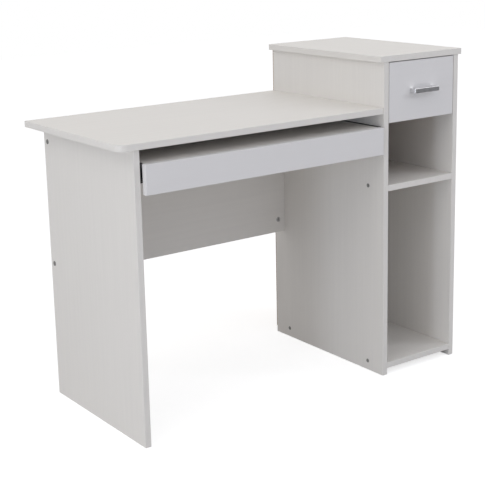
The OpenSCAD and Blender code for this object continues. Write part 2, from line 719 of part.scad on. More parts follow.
// Drawer
module drawer_front() {
    color(COOL) difference() {
        board([x_cell + drawer_side_gap, y_front, z_drawer_front],
            [x_cell_end - drawer_side_gap, y_drawer, z_drawer_front_end]);
        drawer_holes();
    }
}
module drawer_side(x) {
    color(SHADE) difference() {
        board([x, y_drawer, z_drawer], [x + drawer_t, y_drawer_end, z_drawer_end]);
        drawer_holes();
    }
}
module drawer_left_side() { drawer_side(x_drawer); }
module drawer_right_side() { drawer_side(x_drawer_end - drawer_t); }
module drawer_back() {
    color(SHADE) difference() {
        board([x_drawer + drawer_t, y_drawer_end - drawer_t, z_bottom + thin_t + groove_gap],
            [x_drawer_end - drawer_t, y_drawer_end, z_drawer_end]);
        drawer_holes();
    }
}
module drawer_bottom() {
    slack = 0.5;
    color(HDF) difference() {
        block([x_drawer + drawer_t - groove_depth + slack, y_drawer - groove_depth + slack, z_bottom],
            [x_drawer_end - drawer_t + groove_depth - slack, y_drawer_end, z_bottom + thin_t]);
        for (n = BOTTOM_NAILS) along(n[0], n[1]) nail_hole();
    }
}

// Handle: a flat bar bent at both ends, seen from above, with a screw in each leg
module handle_outline() {
    half = handle_centres / 2 + handle_leg_w / 2;
    inside = half - handle_leg_w;
    difference() {
        union() {
            translate([-half, -handle_out + handle_r]) square([2 * half, handle_out - handle_r]);
            translate([-half + handle_r, -handle_out]) square([2 * (half - handle_r), handle_r]);
            for (s = [-1, 1]) translate([s * (half - handle_r), handle_r - handle_out]) circle(handle_r);
        }
        translate([-inside, handle_bar_t - handle_out]) square([2 * inside, handle_out]);
    }
}
module drawer_handle() {
    color(NICKEL) difference() {
        translate([x_drawer_mid, y_front, z_handle - handle_h / 2]) linear_extrude(handle_h) handle_outline();
        for (s = [-1, 1]) translate([x_drawer_mid + s * handle_centres / 2, y_front + cut, z_handle])
            rotate([90, 0, 0]) cylinder(h = handle_screw_grip + cut + 0.5, d = handle_screw_d + 2 * fit_gap);
    }
}
module handle_screws() {
    color(STEEL) for (s = [-1, 1]) translate([x_drawer_mid + s * handle_centres / 2, y_drawer, z_handle])
        rotate([90, 0, 0]) difference() {
            union() {
                translate([0, 0, -handle_screw_head_t]) cylinder(h = handle_screw_head_t, d = handle_screw_head_d);
                cylinder(h = board_t + handle_screw_grip, d = handle_screw_d);
            }
            for (a = [0, 90]) rotate(a) translate([-2.2, -0.5, -handle_screw_head_t - cut])
                cube([4.4, 1, cut + 1.4]);
        }
}

// Drawer runners
module runner_side(side) {
    at_panel(side > 0 ? x_cell : x_cell_end, side, z_drawer) children();
}
module frame_rail(side) {
    y_flange = y_frame_roller + roller_d / 2 + 1;
    color(EPOXY) difference() {
        runner_side(side) {
            extrude_y(y_runner, runner_len) {
                strip(0, steel_t, v_track - steel_t, v_track_end + steel_t);
                strip(0, track_reach, v_track - steel_t, v_track);
            }
            extrude_y(y_flange, y_runner + runner_len - y_flange)
                strip(0, track_reach, v_track_end, v_track_end + steel_t);
        }
        for (s = FRAME_SCREWS) along(s[0], s[1]) screw_hole(s[2]);
    }
}
module drawer_rail(side) {
    color(EPOXY) difference() {
        runner_side(side) extrude_y(y_runner, runner_len) {
            strip(runner_w - steel_t, runner_w, -steel_t, v_hook + steel_t);
            strip(u_roller + 1.2, runner_w, v_hook, v_hook + steel_t);
            strip(runner_w - steel_t, runner_w + drawer_t, -steel_t, 0);
        }
        for (s = DRAWER_SCREWS) along(s[0], s[1]) screw_hole(s[2]);
    }
}
// The origin is where the axle crosses the roller's face next to the panel
module roller() {
    color(NYLON) rotate([0, 90, 0]) difference() {
        union() {
            cylinder(h = 0.5, d1 = roller_d - 1, d2 = roller_d);
            translate([0, 0, 0.5]) cylinder(h = roller_w - 1, d = roller_d);
            translate([0, 0, roller_w - 0.5]) cylinder(h = 0.5, d1 = roller_d, d2 = roller_d - 1);
        }
        translate([0, 0, -cut]) cylinder(h = roller_w + 2 * cut, d = axle_d + 2 * axle_gap);
    }
}
module frame_roller(side) {
    runner_side(side) translate([u_roller, y_frame_roller, v_frame_roller]) roller();
}
module drawer_roller(side) {
    runner_side(side) translate([u_roller, y_drawer_roller, v_drawer_roller]) roller();
}
// A rivet from its rail, through a collar and the roller, to its head
module axle(u_rail, u_collar, u_head) {
    pin_end = u_head > u_rail ? u_head + axle_head_t : u_head - axle_head_t;
    module between(a, b, d) {
        translate([min(a, b), 0, 0]) rotate([0, 90, 0]) cylinder(h = abs(b - a), d = d);
    }
    between(u_rail, pin_end, axle_d);
    between(u_rail, u_collar, axle_d + 3);
    between(u_head, pin_end, axle_d + 3);
}
module frame_roller_axles() {
    color(STEEL) for (side = [1, -1]) runner_side(side) translate([0, y_frame_roller, v_frame_roller])
        axle(steel_t, u_roller - 0.3, u_roller + roller_w + 0.3);
}
module drawer_roller_axles() {
    color(STEEL) for (side = [1, -1]) runner_side(side) translate([0, y_drawer_roller, v_drawer_roller])
        axle(runner_w - steel_t, u_roller + roller_w + 0.3, u_roller - 0.2);
}

module runner_left_frame_rail() { frame_rail(1); }
module runner_left_drawer_rail() { drawer_rail(1); }
module runner_left_frame_roller() { frame_roller(1); }
module runner_left_drawer_roller() { drawer_roller(1); }
module runner_right_frame_rail() { frame_rail(-1); }
module runner_right_drawer_rail() { drawer_rail(-1); }
module runner_right_frame_roller() { frame_roller(-1); }
module runner_right_drawer_roller() { drawer_roller(-1); }

// Fasteners
module furniture_screws() {
    color(STEEL) for (b = BOLTS) along(b[0], b[1]) bolt();
}
module screw_caps() {
    color(GREY) for (b = BOLTS) along(b[0], b[1]) bolt_cap();
}
module frame_cams() {
    color(NICKEL) for (c = FRAME_CAMS) aim(c[0], c[1], c[2]) cam(board_t);
}
module frame_cam_dowels() {
    color(STEEL) for (c = FRAME_CAMS) aim(c[0], c[1], c[2]) cam_stud(board_t);
}
module frame_wood_dowels() {
    color(BEECH) for (d = FRAME_DOWELS) along(d[0], d[1]) dowel();
}
module tray_cams() {
    color(NICKEL) for (c = TRAY_CAMS) aim(c[0], c[1], c[2]) cam(board_t);
}
module tray_cam_dowels() {
    color(STEEL) for (c = TRAY_CAMS) aim(c[0], c[1], c[2]) cam_stud(board_t);
}
module tray_wood_dowels() {
    color(BEECH) for (d = TRAY_DOWELS) along(d[0], d[1]) dowel();
}
module drawer_cams() {
    color(NICKEL) for (c = DRAWER_CAMS) aim(c[0], c[1], c[2]) cam(drawer_t);
}
module drawer_cam_dowels() {
    color(STEEL) for (c = DRAWER_CAMS) aim(c[0], c[1], c[2]) cam_stud(drawer_t);
}
module drawer_wood_dowels() {
    color(BEECH) for (d = DRAWER_DOWELS) along(d[0], d[1]) dowel();
}
module frame_rail_screws() {
    color(STEEL) for (s = FRAME_SCREWS) along(s[0], s[1]) screw(s[2]);
}
module tray_rail_screws() {
    color(STEEL) for (s = TRAY_SCREWS) along(s[0], s[1]) screw(s[2]);
}
module drawer_rail_screws() {
    color(STEEL) for (s = DRAWER_SCREWS) along(s[0], s[1]) screw(s[2]);
}
module drawer_back_screws() {
    color(STEEL) for (s = BACK_SCREWS) along(s[0], s[1]) screw(s[2]);
}
module tower_back_nails() {
    color(STEEL) for (n = BACK_NAILS) along(n[0], n[1]) nail();
}
module drawer_bottom_nails() {
    color(STEEL) for (n = BOTTOM_NAILS) along(n[0], n[1]) nail();
}

desk_top();
left_side_panel();
modesty_panel();
tower_left_panel();
tower_right_panel();
tower_top();
middle_shelf();
bottom_shelf();
tower_back();
tray_board();
tray_side_rails();
tray_front();
tray_slide_left_outer();
tray_slide_left_middle();
tray_slide_left_inner();
tray_slide_left_outer_cage();
tray_slide_left_inner_cage();
tray_slide_left_outer_balls();
tray_slide_left_inner_balls();
tray_slide_right_outer();
tray_slide_right_middle();
tray_slide_right_inner();
tray_slide_right_outer_cage();
tray_slide_right_inner_cage();
tray_slide_right_outer_balls();
tray_slide_right_inner_balls();
drawer_front();
drawer_left_side();
drawer_right_side();
drawer_back();
drawer_bottom();
drawer_handle();
handle_screws();
runner_left_frame_rail();
runner_left_drawer_rail();
runner_right_frame_rail();
runner_right_drawer_rail();
runner_left_frame_roller();
runner_left_drawer_roller();
runner_right_frame_roller();
runner_right_drawer_roller();
frame_roller_axles();
drawer_roller_axles();
furniture_screws();
screw_caps();
frame_cams();
frame_cam_dowels();
frame_wood_dowels();
tray_cams();
tray_cam_dowels();
tray_wood_dowels();
drawer_cams();
drawer_cam_dowels();
drawer_wood_dowels();
frame_rail_screws();
tray_rail_screws();
drawer_rail_screws();
drawer_back_screws();
tower_back_nails();
drawer_bottom_nails();
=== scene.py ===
import math

import bmesh
import bpy
from mathutils import Matrix, Vector


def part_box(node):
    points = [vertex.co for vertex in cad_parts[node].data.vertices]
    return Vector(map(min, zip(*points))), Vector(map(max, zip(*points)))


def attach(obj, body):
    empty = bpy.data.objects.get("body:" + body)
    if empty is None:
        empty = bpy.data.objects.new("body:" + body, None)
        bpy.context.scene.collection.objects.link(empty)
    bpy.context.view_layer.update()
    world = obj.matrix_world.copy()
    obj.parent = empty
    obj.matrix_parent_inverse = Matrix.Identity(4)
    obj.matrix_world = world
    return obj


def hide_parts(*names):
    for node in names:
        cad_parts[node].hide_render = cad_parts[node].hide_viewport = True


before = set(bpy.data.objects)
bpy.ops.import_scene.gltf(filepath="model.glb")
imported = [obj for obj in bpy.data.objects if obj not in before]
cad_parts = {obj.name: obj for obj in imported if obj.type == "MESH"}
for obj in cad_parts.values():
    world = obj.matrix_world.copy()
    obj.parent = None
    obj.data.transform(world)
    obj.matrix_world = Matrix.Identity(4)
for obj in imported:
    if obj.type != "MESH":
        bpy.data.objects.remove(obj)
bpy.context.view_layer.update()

# Side panel at the left: 16 mm particleboard with a grey-white melamine skin, which has a faint grain and
# a pearl emboss. A 0.8 mm strip bands its edges, with a hairline where it meets the skin, and the edge
# that stands on the floor is raw.
MM = 0.001
Y, Z = 1, 2  # places of these axes in a vector


class Wiring:
    """A node tree that is being built."""

    def __init__(self, tree):
        self.tree = tree

    def node(self, kind, settings=None, out=0, **values):
        """Adds one node, sets it up, joins or fills its sockets, and gives one of its outputs."""
        made = self.tree.nodes.new(kind)
        for key, value in (settings or {}).items():
            setattr(made, key, value)
        for key, value in values.items():
            index = int(key[1:]) if key[1:].isdigit() else key.replace("_", " ")
            self.join(made.inputs[index], value)
        return Socket(self, made.outputs[out])

    def join(self, socket, value):
        if isinstance(value, Socket):
            self.tree.links.new(value.socket, socket)
        else:
            socket.default_value = value

    def split(self, vector):
        """The X, Y and Z of a vector."""
        return [self.node("ShaderNodeSeparateXYZ", out=axis, Vector=vector) for axis in "XYZ"]

    def ramp(self, value, start, end):
        """0 at start, 1 at end, and a straight line between them."""
        return self.node("ShaderNodeMapRange", i0=value, i1=start, i2=end, i3=0.0, i4=1.0)

    def shades(self, mask, low, high):
        """A colour that goes from low to high with the mask."""
        mix = self.tree.nodes.new("ShaderNodeMix")
        mix.data_type = "RGBA"
        self.join(mix.inputs[0], mask)
        for socket, colour in ((mix.inputs[6], low), (mix.inputs[7], high)):
            self.join(socket, colour if isinstance(colour, Socket) else (*colour, 1))
        return Socket(self, mix.outputs[2])


class Finish(Wiring):
    """A material: a node tree and the shader that its surface comes from."""

    def __init__(self, name, **constants):
        self.material = bpy.data.materials.new(name)
        self.material.use_nodes = True
        super().__init__(self.material.node_tree)
        self.shader = self.tree.nodes["Principled BSDF"]
        self.set(**constants)

    def set(self, **values):
        for key, value in values.items():
            self.join(self.shader.inputs[key.replace("_", " ")], value)

    def place(self):
        """Where a point is on the piece, in metres."""
        return self.split(self.node("ShaderNodeTexCoord", out="Object"))

    def facing(self):
        """Which way the surface faces."""
        return self.split(self.node("ShaderNodeTexCoord", out="Normal"))

    def noise(self, size, detail=2.0, stretch=(1, 1, 1)):
        """Noise from 0 to 1 in lumps about `size` metres across, longer where stretch is small."""
        point = self.node("ShaderNodeTexCoord", out="Object")
        point = self.node("ShaderNodeMapping", Vector=point, Scale=stretch)
        return self.node("ShaderNodeTexNoise", out="Fac", Vector=point, Scale=1 / size, Detail=detail)

    def bump(self, height, depth, strength=1.0):
        self.set(Normal=self.node("ShaderNodeBump", Height=height, Distance=depth, Strength=strength))


class Socket:
    """An output of a node. Python's operators on it add Math nodes."""

    def __init__(self, wiring, socket):
        self.wiring, self.socket = wiring, socket

    def maths(self, operation, *values):
        """Adds a Math node that works on these values."""
        sockets = {f"i{i}": value for i, value in enumerate(values)}
        return self.wiring.node("ShaderNodeMath", {"operation": operation}, **sockets)

    def __add__(self, other):
        return self.maths("ADD", self, other)

    def __radd__(self, other):
        return self.maths("ADD", other, self)

    def __sub__(self, other):
        return self.maths("SUBTRACT", self, other)

    def __rsub__(self, other):
        return self.maths("SUBTRACT", other, self)

    def __mul__(self, other):
        return self.maths("MULTIPLY", self, other)

    def __rmul__(self, other):
        return self.maths("MULTIPLY", other, self)

    def __lt__(self, other):
        return self.maths("LESS_THAN", self, other)

    def __gt__(self, other):
        return self.maths("GREATER_THAN", self, other)

    def __abs__(self):
        return self.maths("ABSOLUTE", self)

    def least(self, other):
        return self.maths("MINIMUM", self, other)

    def most(self, other):
        return self.maths("MAXIMUM", self, other)

    def sine(self):
        return self.maths("SINE", self)


def dress(node, finish):
    """Gives a carried-over node its finish."""
    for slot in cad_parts[node].material_slots:
        slot.material = finish.material


BOARD_COLOUR = (0.82, 0.796, 0.762)
BAND = 0.8 * MM
HAIRLINE, HAIRLINE_TONE, HAIRLINE_COLOUR = 0.12 * MM, 0.35, (0.40, 0.38, 0.36)
CLOUD, CLOUD_SHADE = 350 * MM, 0.985
GRAIN, GRAIN_STRETCH, GRAIN_TONE, GRAIN_COLOUR = 9 * MM, 0.03, 0.06, (0.55, 0.53, 0.51)
PEARL = 0.45 * MM
CHIP, CHIP_LIGHT, CHIP_DARK = 2.2 * MM, (0.52, 0.37, 0.22), (0.22, 0.13, 0.07)
# A face counts as looking along an axis where that part of its normal is over this.
SQUARE_ON = 0.9
# Raw edges: an axis, and the way along it that the edge faces.
UNDER, BEHIND = (Z, -1), (Y, 1)


def coated_board(node, colour=BOARD_COLOUR, raw=(), streaks=GRAIN_TONE):
    """The skin, its banded edges, and the raw edges, each given as an axis and the way that it faces."""
    low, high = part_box(node)
    thin = min(range(3), key=lambda axis: high[axis] - low[axis])
    long = max(range(3), key=lambda axis: high[axis] - low[axis])
    finish = Finish(f"coated board of {node}", Specular_IOR_Level=0.45)
    place, facing = finish.place(), finish.facing()
    on_skin = abs(facing[thin]) > SQUARE_ON
    wide = [axis for axis in range(3) if axis != thin]
    insets = [(place[axis] - low[axis]).least(high[axis] - place[axis]) for axis in wide]
    seam = (abs(insets[0].least(insets[1]) - BAND) < HAIRLINE) * on_skin
    cloud = finish.noise(CLOUD, detail=1.0)
    pearl = finish.noise(PEARL, detail=1.0)
    skin = finish.shades(cloud, [CLOUD_SHADE * c for c in colour], colour)
    along_grain = [GRAIN_STRETCH if axis == long else 1 for axis in range(3)]
    grain = finish.ramp(finish.noise(GRAIN, detail=4.0, stretch=along_grain), 0.35, 0.65)
    skin = finish.shades(grain * streaks, skin, GRAIN_COLOUR)
    skin = finish.shades(seam * HAIRLINE_TONE, skin, HAIRLINE_COLOUR)
    rough = 0.42 + 0.06 * on_skin + 0.06 * pearl
    relief = pearl * 0.03
    for axis, way in raw:
        chips = finish.noise(CHIP, detail=3.0)
        bare = facing[axis] * way > SQUARE_ON
        chip_colour = finish.shades(finish.ramp(chips, 0.35, 0.62), CHIP_DARK, CHIP_LIGHT)
        skin = finish.shades(bare, skin, chip_colour)
        rough = rough.most(bare * 0.85)
        relief = relief + bare * chips * 0.5
    finish.set(Base_Color=skin, Roughness=rough)
    finish.bump(relief, depth=MM, strength=0.5)
    dress(node, finish)


coated_board("left_side_panel", raw=[UNDER])

# Modesty panel: it stands on its edge behind the knees and stops the desk from leaning sideways. It is
# the same coated board, bolted through the left panel and held to the tower with two cams.
coated_board("modesty_panel")

# Desk top: one board that lies on the left panel and the modesty panel, with its front left corner cut
# round and banded. Cams pull it against the tower.
coated_board("desk_top")

# Tower: two side panels that stand on the floor, with their lower edges raw, and a shelf and a bottom
# board bolted between them. The top lies on both sides and is held from below by cams.
for panel in ("tower_left_panel", "tower_right_panel"):
    coated_board(panel, raw=[UNDER])
for shelf in ("bottom_shelf", "middle_shelf"):
    coated_board(shelf, raw=[BEHIND])
coated_board("tower_top")

# Tower back: a sheet of 3 mm hardboard nailed to the back edges. Its inner face is lacquered to match
# the boards, and its outer face is raw, brown and pressed with the mesh of the press screen.
LACQUER = (0.90, 0.875, 0.84)
LACQUER_SHADE = 0.97
FIBRE_LIGHT, FIBRE_DARK = (0.36, 0.22, 0.12), (0.24, 0.14, 0.075)
FIBRE, BLOTCH = 3 * MM, 120 * MM
SCREEN = 1.6 * MM


def hardboard(node, axis, way):
    """A sheet whose lacquered face looks along the axis, up or down it."""
    finish = Finish(f"hardboard of {node}", Specular_IOR_Level=0.4)
    place, facing = finish.place(), finish.facing()
    lacquered = facing[axis] * way > SQUARE_ON
    fibres = finish.noise(FIBRE, detail=4.0)
    blotch = finish.noise(BLOTCH, detail=2.0)
    brown = finish.shades(finish.ramp(fibres, 0.3, 0.7), FIBRE_DARK, FIBRE_LIGHT)
    pale = finish.shades(blotch, [LACQUER_SHADE * c for c in LACQUER], LACQUER)
    waves = [(place[i] * (2 * math.pi / SCREEN)).sine() for i in range(3) if i != axis]
    relief = lacquered * fibres * 0.02 + (1 - lacquered) * (waves[0] * waves[1] * 0.06 + fibres * 0.05)
    finish.set(Base_Color=finish.shades(lacquered, brown, pale), Roughness=0.78 - 0.32 * lacquered)
    finish.bump(relief, depth=MM, strength=0.6)
    dress(node, finish)


hardboard("tower_back", Y, -1)

# Cams and their dowels: a steel dowel screws into the face of one board, and a die-cast zinc cam, 15 mm
# across, sits in a bore in the other. A half turn with a screwdriver pulls the two boards together.
CAST_DARK, CAST_LIGHT = (0.52, 0.52, 0.53), (0.64, 0.64, 0.64)
ZINC = (0.60, 0.61, 0.63)
ZINC_TINT = (0.63, 0.60, 0.52)


def cast_zinc(node):
    """Bare die-cast zinc, dull and slightly stained."""
    finish = Finish(f"cast zinc of {node}", Metallic=1.0)
    grain = finish.noise(0.5 * MM, detail=3.0)
    stain = finish.noise(6 * MM)
    finish.set(Base_Color=finish.shades(stain, CAST_DARK, CAST_LIGHT), Roughness=0.42 + 0.22 * grain)
    finish.bump(grain, depth=0.05 * MM, strength=0.6)
    dress(node, finish)


def plated_steel(node):
    """Zinc plating with a faint yellow and blue passivation."""
    finish = Finish(f"zinc plated steel of {node}", Metallic=1.0)
    film = finish.noise(5 * MM, detail=1.0)
    grain = finish.noise(0.3 * MM, detail=2.0)
    tint = finish.shades(finish.ramp(film, 0.4, 0.7), ZINC, ZINC_TINT)
    finish.set(Base_Color=tint, Roughness=0.26 + 0.16 * grain)
    finish.bump(grain, depth=0.02 * MM, strength=0.4)
    dress(node, finish)


for name in ("frame_cams", "tray_cams", "drawer_cams"):
    cast_zinc(name)
for name in ("frame_cam_dowels", "tray_cam_dowels", "drawer_cam_dowels"):
    plated_steel(name)

# Wooden dowels: fluted beech pins, 8 by 30 mm, glued into bores so that the boards can't shift. Beech is
# pale and pinkish, with short brown rays.
BEECH_DARK, BEECH_LIGHT = (0.46, 0.29, 0.16), (0.66, 0.46, 0.28)


def beech(node):
    """Planed beech, unfinished."""
    finish = Finish(f"beech of {node}", Specular_IOR_Level=0.3)
    rays = finish.noise(0.9 * MM, detail=3.0)
    warm = finish.shades(finish.ramp(rays, 0.35, 0.7), BEECH_DARK, BEECH_LIGHT)
    finish.set(Base_Color=warm, Roughness=0.62 + 0.15 * rays)
    finish.bump(rays, depth=0.15 * MM, strength=0.5)
    dress(node, finish)


for name in ("frame_wood_dowels", "tray_wood_dowels", "drawer_wood_dowels"):
    beech(name)

# Furniture screws and their caps: zinc plated screws, 7 by 50 mm, hold the shelves and the modesty panel
# through the side panels. A moulded grey cap with a peg in the screw's hexagon hides each head.
CAP_R, SMALL_CAP_R = 6.5 * MM, 5.4 * MM
CAP_H = 1.2 * MM
CAP_STEPS = 40
CAP_DARK, CAP_LIGHT = (0.20, 0.195, 0.185), (0.235, 0.23, 0.22)
PEG_R, PEG_LENGTH, PEG_ROOT = 1.7 * MM, 1.6 * MM, 0.3 * MM
TOWER_FIX = 62 * MM
MODESTY_FIX = 38 * MM
LEFT, RIGHT, BACK = Vector((-1, 0, 0)), Vector((1, 0, 0)), Vector((0, 1, 0))
SAME_POINT = 0.001 * MM


def new_piece(name, bm, finish, body, slot, *nodes):
    """Makes a mesh object of a bmesh, hangs it on its body and hides the nodes that it replaces."""
    bmesh.ops.recalc_face_normals(bm, faces=bm.faces)
    mesh = bpy.data.meshes.new(name)
    bm.to_mesh(mesh)
    bm.free()
    piece = bpy.data.objects.new(name, mesh)
    bpy.context.collection.objects.link(piece)
    mesh.materials.append(finish.material)
    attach(piece, body)
    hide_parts(*nodes)
    return piece


def spin_profile(bm, points, centre, axis, steps):
    """Turns a profile of (radius, distance along the axis) once round a left-to-right axis."""
    verts = [bm.verts.new(centre + BACK * r + axis * h) for r, h in points]
    edges = [bm.edges.new(pair) for pair in zip(verts, verts[1:])]
    bmesh.ops.spin(bm, geom=verts + edges, cent=centre, axis=axis, angle=2 * math.pi, steps=steps,
                   use_merge=True)
    bmesh.ops.remove_doubles(bm, verts=bm.verts, dist=SAME_POINT)


plated_steel("furniture_screws")
plastic = Finish("grey moulded plastic", Specular_IOR_Level=0.45)
sand = plastic.noise(0.35 * MM, detail=2.0)
plastic.set(Base_Color=plastic.shades(sand, CAP_DARK, CAP_LIGHT), Roughness=0.46 + 0.1 * sand)
plastic.bump(sand, depth=0.03 * MM, strength=0.5)


def cap_profile(r):
    """Half of a cap's section: a dimple, a low dome, a rounded rim and the peg."""
    dimple = [(0, 0.82), (0.10, 0.84), (0.20, 0.98), (0.26, 1)]
    dome = [(0.60, 0.95), (0.82, 0.80), (0.94, 0.55), (0.99, 0.25), (1, 0)]
    peg = [(PEG_R, 0), (PEG_R, PEG_ROOT - PEG_LENGTH), (0.8 * PEG_R, -PEG_LENGTH), (0, -PEG_LENGTH)]
    return [(out * r, up * CAP_H) for out, up in dimple + dome] + peg


modesty_low, modesty_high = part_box("modesty_panel")
tower_low, tower_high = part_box("tower_left_panel")
left_face, right_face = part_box("left_side_panel")[0][0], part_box("tower_right_panel")[1][0]
modesty_middle = (modesty_low[1] + modesty_high[1]) / 2
cap_places = [
    (Vector((left_face, modesty_middle, z)), LEFT, CAP_R)
    for z in (modesty_low[2] + MODESTY_FIX, modesty_high[2] - MODESTY_FIX)
]
for shelf in ("bottom_shelf", "middle_shelf"):
    shelf_low, shelf_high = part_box(shelf)
    for y in (tower_low[1] + TOWER_FIX, tower_high[1] - TOWER_FIX):
        z = (shelf_low[2] + shelf_high[2]) / 2
        cap_places.append((Vector((tower_low[0], y, z)), LEFT, SMALL_CAP_R))
        cap_places.append((Vector((right_face, y, z)), RIGHT, SMALL_CAP_R))
bm = bmesh.new()
for centre, axis, radius in cap_places:
    spin_profile(bm, cap_profile(radius), centre, axis, CAP_STEPS)
caps = new_piece("moulded_screw_caps", bm, plastic, "frame", "grey_plastic", "screw_caps")
for face in caps.data.polygons:
    face.use_smooth = True

# Keyboard tray: a board between two upright side rails, with a taller front that hides them. It is coated
# board again, and its front has a smoother skin, tinted cooler as painted cool light falling from the
# front. Its back edges are raw.
# The cooler tint of the fronts is painted cool light from the front; the board itself is the same.
FRONT_COLOUR_PAINTED_COOL_LIGHT = (0.80, 0.787, 0.79)
FRONT_GRAIN_TONE = 0.02
coated_board("tray_board", raw=[BEHIND])
coated_board("tray_side_rails", raw=[BEHIND])
coated_board("tray_front", FRONT_COLOUR_PAINTED_COOL_LIGHT, streaks=FRONT_GRAIN_TONE)

# Tray slides: three nested channels of rolled steel, coated black, that run on rows of steel balls. The
# balls sit in bright zinc plated cages, and their races are rubbed down to the metal.
SIDES = ("left", "right")
slide_low, slide_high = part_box("tray_slide_left_outer")
slide_mid = (slide_low[2] + slide_high[2]) / 2
RACES = {"outer": 19.5 * MM, "middle": 17.6 * MM, "inner": 14.7 * MM}
RACE_EDGE, RACE_MIDDLE = 2.2 * MM, 0.8 * MM
ALONG_SLIDE = (1, 0.02, 1)
BLACK_COAT, RUBBED_STEEL = (0.018, 0.018, 0.02), (0.30, 0.30, 0.31)
BALL_DARK, BALL_LIGHT = (0.56, 0.56, 0.57), (0.66, 0.66, 0.67)
for side in SIDES:
    for member, height in RACES.items():
        black = Finish(f"black coat of {side} {member} member", Specular_IOR_Level=0.5)
        place = black.place()
        rubbed = black.ramp(abs(abs(place[Z] - slide_mid) - height), RACE_EDGE, RACE_MIDDLE)
        streak = black.noise(0.8 * MM, detail=2.0, stretch=ALONG_SLIDE)
        wear = rubbed * black.ramp(streak, 0.42, 0.62) * 0.7
        peel = black.noise(1.2 * MM, detail=1.0)
        black.set(Base_Color=black.shades(wear, BLACK_COAT, RUBBED_STEEL))
        black.set(Metallic=wear, Roughness=0.42 + 0.1 * peel - 0.12 * wear)
        black.bump(peel, depth=0.04 * MM, strength=0.5)
        dress(f"tray_slide_{side}_{member}", black)
    for row in ("outer", "inner"):
        plated_steel(f"tray_slide_{side}_{row}_cage")
        ball = Finish(f"ball steel of {side} {row} row", Metallic=1.0)
        film = ball.noise(1.5 * MM, detail=1.0)
        ball.set(Base_Color=ball.shades(film, BALL_DARK, BALL_LIGHT), Roughness=0.08 + 0.1 * film)
        dress(f"tray_slide_{side}_{row}_balls", ball)
plated_steel("tray_rail_screws")
plated_steel("frame_rail_screws")

# Drawer box: sides and back of 12 mm coated board, with the hardboard bottom in a groove, screwed and
# pinned together. The front is a 16 mm board like the tray's, pulled on by two cams.
for board in ("drawer_left_side", "drawer_right_side", "drawer_back"):
    coated_board(board, raw=[UNDER])
# The drawer front gets the same painted cool light as the tray's front.
coated_board("drawer_front", FRONT_COLOUR_PAINTED_COOL_LIGHT, streaks=FRONT_GRAIN_TONE)
hardboard("drawer_bottom", Z, 1)
plated_steel("drawer_back_screws")
plated_steel("drawer_bottom_nails")
plated_steel("tower_back_nails")

# Drawer handle: a cast D-shaped bar with a satin nickel finish, brushed along its length. Two screws
# through the drawer front hold its legs.
HANDLE_LEG, HANDLE_BAR = 12 * MM, 9 * MM
HANDLE_R, HANDLE_INNER_R, HANDLE_EDGE = 4 * MM, 2 * MM, 0.7 * MM
NICKEL_DARK, NICKEL_LIGHT = (0.72, 0.72, 0.73), (0.80, 0.80, 0.81)
ALONG_HANDLE = (0.03, 1, 1)
NEAR = 0.1 * MM
low, high = (Vector(corner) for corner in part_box("drawer_handle"))
bm = bmesh.new()
outline = [
    (low.x, high.y), (low.x, low.y), (high.x, low.y), (high.x, high.y),
    (high.x - HANDLE_LEG, high.y), (high.x - HANDLE_LEG, low.y + HANDLE_BAR),
    (low.x + HANDLE_LEG, low.y + HANDLE_BAR), (low.x + HANDLE_LEG, high.y),
]
base = bm.faces.new([bm.verts.new((x, y, low.z)) for x, y in outline])
grown = bmesh.ops.extrude_face_region(bm, geom=[base])["geom"]
upper = [v for v in grown if isinstance(v, bmesh.types.BMVert)]
bmesh.ops.translate(bm, verts=upper, vec=(0, 0, high.z - low.z))


def upright_edges(corners):
    """The handle's vertical edges that stand at these corners."""
    found = []
    for edge in bm.edges:
        a, b = (v.co for v in edge.verts)
        if abs(a.z - b.z) > MM and any(abs(a.x - x) + abs(a.y - y) < NEAR for x, y in corners):
            found.append(edge)
    return found


for corners, radius in ((outline[1:3], HANDLE_R), (outline[5:7], HANDLE_INNER_R)):
    bmesh.ops.bevel(bm, geom=upright_edges(corners), offset=radius, offset_type="OFFSET", segments=8,
                    profile=0.5, affect="EDGES", material=-1)
rims = [e for e in bm.edges if abs(e.verts[0].co.z - e.verts[1].co.z) < NEAR
        and not all(abs(v.co.y - high.y) < NEAR for v in e.verts)]
bmesh.ops.bevel(bm, geom=rims, offset=HANDLE_EDGE, offset_type="OFFSET", segments=3, profile=0.5,
                affect="EDGES", material=-1)
nickel = Finish("satin nickel", Metallic=1.0)
brushed = nickel.noise(0.25 * MM, detail=3.0, stretch=ALONG_HANDLE)
haze = nickel.noise(12 * MM, detail=1.0)
nickel.set(Base_Color=nickel.shades(haze, NICKEL_DARK, NICKEL_LIGHT), Roughness=0.16 + 0.12 * brushed)
nickel.bump(brushed, depth=0.03 * MM, strength=0.5)
new_piece("satin_handle", bm, nickel, "drawer", "satin_nickel", "drawer_handle")
plated_steel("handle_screws")

